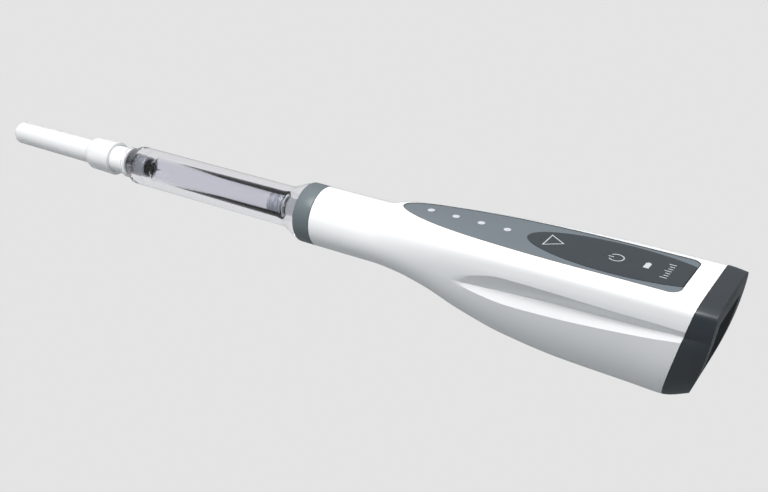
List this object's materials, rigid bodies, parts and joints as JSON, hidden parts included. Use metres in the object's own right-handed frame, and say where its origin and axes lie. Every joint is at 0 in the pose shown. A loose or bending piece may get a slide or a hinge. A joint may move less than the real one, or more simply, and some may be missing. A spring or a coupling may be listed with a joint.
{
  "type": "dental anaesthetic injector",
  "caption": "Cordless handpiece that drives a plunger through a clear cartridge holder to give a dental injection; keys and status lights on top.",
  "frame": {"origin": "on the needle axis at the front face of the white housing, behind the grey collar", "axes": "+X from the needle towards the rear cap, +Z towards the key side"},
  "size_m": [0.2556, 0.0318, 0.0351],
  "materials": {
    "sheath_polypropylene": "translucent moulded polypropylene",
    "hub_polypropylene": "moulded white polypropylene",
    "needle_steel": "drawn stainless steel",
    "clear_polycarbonate": "clear moulded polycarbonate, polished",
    "seal_rubber": "matt moulded rubber",
    "cartridge_glass": "clear drawn glass",
    "cartridge_aluminium": "crimped bright aluminium",
    "stopper_rubber": "grey moulded rubber",
    "grey_collar_plastic": "satin moulded ABS",
    "inner_brass": "turned brass",
    "inner_black_plastic": "moulded black nylon",
    "bright_steel": "ground bright steel",
    "rod_head_plastic": "moulded acetal",
    "inner_aluminium": "turned aluminium",
    "motor_can_steel": "plated pressed steel",
    "battery_wrap": "shrink sleeve",
    "inner_nickel": "nickel plate",
    "board_laminate": "solder-masked laminate",
    "led_window_plastic": "milky acrylic light guide",
    "key_pad_silicone": "fine matt silicone",
    "grey_panel_plastic": "satin moulded ABS",
    "white_gloss_shell": "high-gloss white ABS",
    "dark_cap_plastic": "satin dark ABS"
  },
  "bodies": {
    "handpiece": {"retainer_plate": "inner_black_plastic", "socket_cup": "inner_black_plastic", "rod_bush": "inner_brass", "screw_guide": "inner_aluminium", "bearing_outer_race": "bright_steel", "bearing_balls": "bright_steel", "chassis": "inner_black_plastic", "gearhead": "inner_brass", "drive_motor": "motor_can_steel", "home_sensor": "inner_black_plastic", "battery_cell": "battery_wrap", "cell_terminals": "inner_nickel", "main_board": "board_laminate", "board_screws": "bright_steel", "status_leds": "led_window_plastic", "start_switch": "inner_black_plastic", "power_switch": "inner_black_plastic", "led_windows": "led_window_plastic", "gauge_window": "led_window_plastic", "key_panel": "grey_panel_plastic", "key_pad": "key_pad_silicone", "housing": "white_gloss_shell", "end_cap": "dark_cap_plastic", "cap_gasket": "seal_rubber", "cap_screws": "bright_steel", "charge_board": "board_laminate", "charge_contacts": "inner_nickel"},
    "collar": {"lock_ring": "grey_collar_plastic", "lug_ring": "inner_brass"},
    "holder": {"cartridge_holder": "clear_polycarbonate", "holder_seal": "seal_rubber", "glass_cartridge": "cartridge_glass", "cartridge_ferrule": "cartridge_aluminium", "cartridge_diaphragm": "seal_rubber"},
    "stopper": {"cartridge_stopper": "stopper_rubber"},
    "needle": {"needle_hub": "hub_polypropylene", "needle_cannula": "needle_steel"},
    "sheath": {"needle_sheath": "sheath_polypropylene"},
    "rod": {"push_rod": "bright_steel", "rod_head": "rod_head_plastic", "drive_nut": "inner_brass"},
    "screw": {"lead_screw": "bright_steel", "bearing_inner_race": "bright_steel", "shaft_coupler": "inner_aluminium", "output_shaft": "bright_steel"},
    "start_button": {"start_stem": "rod_head_plastic", "start_key": "key_pad_silicone"},
    "power_button": {"power_stem": "rod_head_plastic", "power_key": "key_pad_silicone"}
  },
  "joints": [
    {"name": "rod_slide", "type": "slide", "parent": "handpiece", "child": "rod", "axis": [-1, 0, 0], "range_m": [0, 0.045]},
    {"name": "screw_turn", "type": "hinge", "parent": "handpiece", "child": "screw", "pos_m": [0, 0, 0], "axis": [-1, 0, 0], "range_deg": [0, 8110]},
    {"name": "collar_turn", "type": "hinge", "parent": "handpiece", "child": "collar", "pos_m": [0, 0, 0], "axis": [1, 0, 0], "range_deg": [0, 60]},
    {"name": "holder_pull", "type": "slide", "parent": "handpiece", "child": "holder", "axis": [-1, 0, 0], "range_m": [0, 0.025]},
    {"name": "stopper_slide", "type": "slide", "parent": "holder", "child": "stopper", "axis": [-1, 0, 0], "range_m": [0, 0.0451]},
    {"name": "needle_pull", "type": "slide", "parent": "holder", "child": "needle", "axis": [-1, 0, 0], "range_m": [0, 0.022]},
    {"name": "sheath_pull", "type": "slide", "parent": "needle", "child": "sheath", "axis": [-1, 0, 0], "range_m": [0, 0.03]},
    {"name": "start_press", "type": "slide", "parent": "handpiece", "child": "start_button", "axis": [0, 0, -1], "range_m": [0, 0.0003], "stiffness_N_per_m": 2000},
    {"name": "power_press", "type": "slide", "parent": "handpiece", "child": "power_button", "axis": [0, 0, -1], "range_m": [0, 0.0003], "stiffness_N_per_m": 2000}
  ],
  "couplings": [
    {"joint": "screw_turn", "follows": "rod_slide", "rad_per_m": 3141.6},
    {"joint": "stopper_slide", "follows": "rod_slide", "ratio": 1}
  ]
}
